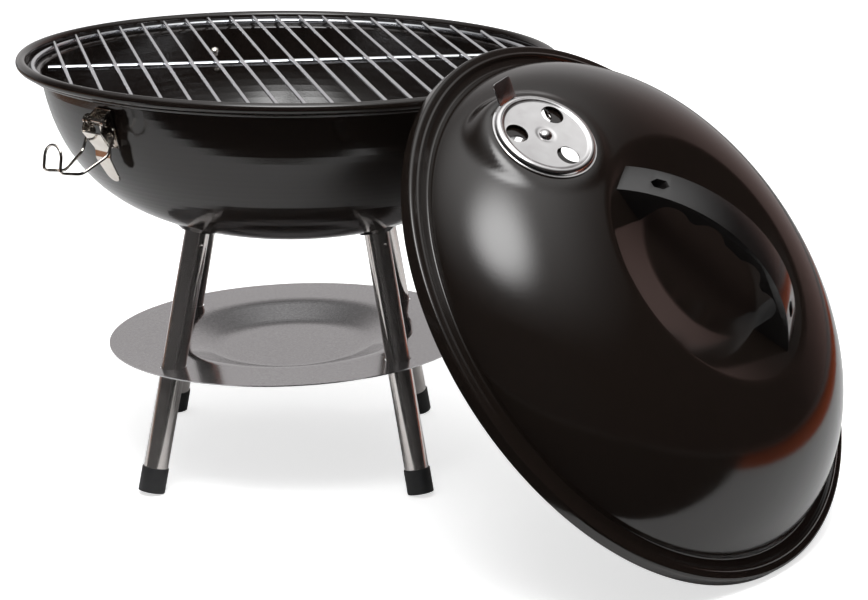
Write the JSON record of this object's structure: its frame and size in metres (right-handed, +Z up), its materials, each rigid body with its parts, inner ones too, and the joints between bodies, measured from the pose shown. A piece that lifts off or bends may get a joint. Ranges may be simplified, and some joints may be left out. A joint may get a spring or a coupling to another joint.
{
  "type": "portable charcoal grill",
  "caption": "Portable kettle style charcoal grill in gloss black enamel on chrome legs, with an ash catcher, wire latches and its lid leaning against the bowl.",
  "frame": {"origin": "middle of the outline of the whole grill with its leaning lid, on the ground", "axes": "+Z up along the bowl axis, -Y towards the front with the lid and one latch, +X to the right where the lid leans; the bowl axis stands at x -0.0948 m, y 0.0620 m"},
  "size_m": [0.5595, 0.5236, 0.3066],
  "materials": {
    "enamel_black": "gloss enamel",
    "leg_chrome": "polished",
    "foot_black": "matte",
    "tray_steel": "bright rolled",
    "grate_chrome": "polished",
    "coal_grate_steel": "plain wire",
    "latch_steel": "polished",
    "fastener_steel": "zinc plated",
    "damper_steel": "polished",
    "handle_black": "satin gloss"
  },
  "bodies": {
    "root": {"bowl": "enamel_black", "bowl_damper_rivet": "fastener_steel", "leg_back_right": "leg_chrome", "leg_back_left": "leg_chrome", "leg_front_left": "leg_chrome", "leg_front_right": "leg_chrome", "foot_cap_back_right": "foot_black", "foot_cap_back_left": "foot_black", "foot_cap_front_left": "foot_black", "foot_cap_front_right": "foot_black", "leg_inserts": "fastener_steel", "leg_washers": "fastener_steel", "leg_bolts": "fastener_steel", "ash_catcher": "tray_steel", "latch_base_front": "latch_steel", "latch_base_back": "latch_steel", "latch_base_side": "latch_steel", "latch_rivets": "fastener_steel", "latch_pins": "latch_steel"},
    "bowl_vent": {"bowl_damper": "damper_steel"},
    "cooking_grate": {"cooking_grate_ring": "grate_chrome", "cooking_grate_bars": "grate_chrome", "cooking_grate_brace": "grate_chrome"},
    "charcoal_grate": {"charcoal_grate_ring": "coal_grate_steel", "charcoal_grate_bars": "coal_grate_steel", "charcoal_grate_brace": "coal_grate_steel"},
    "lid": {"lid_shell": "enamel_black", "lid_damper_rivet": "damper_steel", "lid_handle": "handle_black", "handle_bolts": "fastener_steel", "handle_washers": "fastener_steel", "handle_nuts": "fastener_steel"},
    "lid_vent": {"lid_damper": "damper_steel"},
    "lever_front": {"latch_lever_front": "latch_steel"},
    "bail_front": {"latch_bail_front": "latch_steel"},
    "lever_back": {"latch_lever_back": "latch_steel"},
    "bail_back": {"latch_bail_back": "latch_steel"},
    "lever_side": {"latch_lever_side": "latch_steel"},
    "bail_side": {"latch_bail_side": "latch_steel"}
  },
  "joints": [
    {"name": "lid_lift", "type": "slide", "parent": "root", "child": "lid", "axis": [0, 0, 1], "range_m": [0, 0.35]},
    {"name": "lid_damper_turn", "type": "hinge", "parent": "lid", "child": "lid_vent", "pos_m": [0.07135, -0.13966, 0.27111], "axis": [0.3108, -0.4997, 0.8086], "continuous": true},
    {"name": "bowl_damper_turn", "type": "hinge", "parent": "root", "child": "bowl_vent", "pos_m": [-0.09478, 0.06202, 0.165], "axis": [0, 0, 1], "continuous": true},
    {"name": "cooking_grate_lift", "type": "slide", "parent": "root", "child": "cooking_grate", "axis": [0, 0, 1], "range_m": [0, 0.005]},
    {"name": "charcoal_grate_lift", "type": "slide", "parent": "root", "child": "charcoal_grate", "axis": [0, 0, 1], "range_m": [0, 0.068]},
    {"name": "lever_front_swing", "type": "hinge", "parent": "root", "child": "lever_front", "pos_m": [-0.20933, -0.06975, 0.2636], "axis": [-0.7547, 0.6561, 0], "range_deg": [0, 95]},
    {"name": "bail_front_swing", "type": "hinge", "parent": "lever_front", "child": "bail_front", "pos_m": [-0.20736, -0.06749, 0.2557], "axis": [-0.7547, 0.6561, 0], "range_deg": [-68, 0]},
    {"name": "lever_back_swing", "type": "hinge", "parent": "root", "child": "lever_back", "pos_m": [-0.163, 0.22274, 0.2636], "axis": [0.9205, 0.3907, 0], "range_deg": [0, 95]},
    {"name": "bail_back_swing", "type": "hinge", "parent": "lever_back", "child": "bail_back", "pos_m": [-0.16183, 0.21998, 0.2557], "axis": [0.9205, 0.3907, 0], "range_deg": [-68, 0]},
    {"name": "lever_side_swing", "type": "hinge", "parent": "root", "child": "lever_side", "pos_m": [0.07972, 0.06811, 0.2636], "axis": [0.0349, -0.9994, 0], "range_deg": [0, 95]},
    {"name": "bail_side_swing", "type": "hinge", "parent": "lever_side", "child": "bail_side", "pos_m": [0.07672, 0.06801, 0.2557], "axis": [0.0349, -0.9994, 0], "range_deg": [-68, 0]}
  ]
}
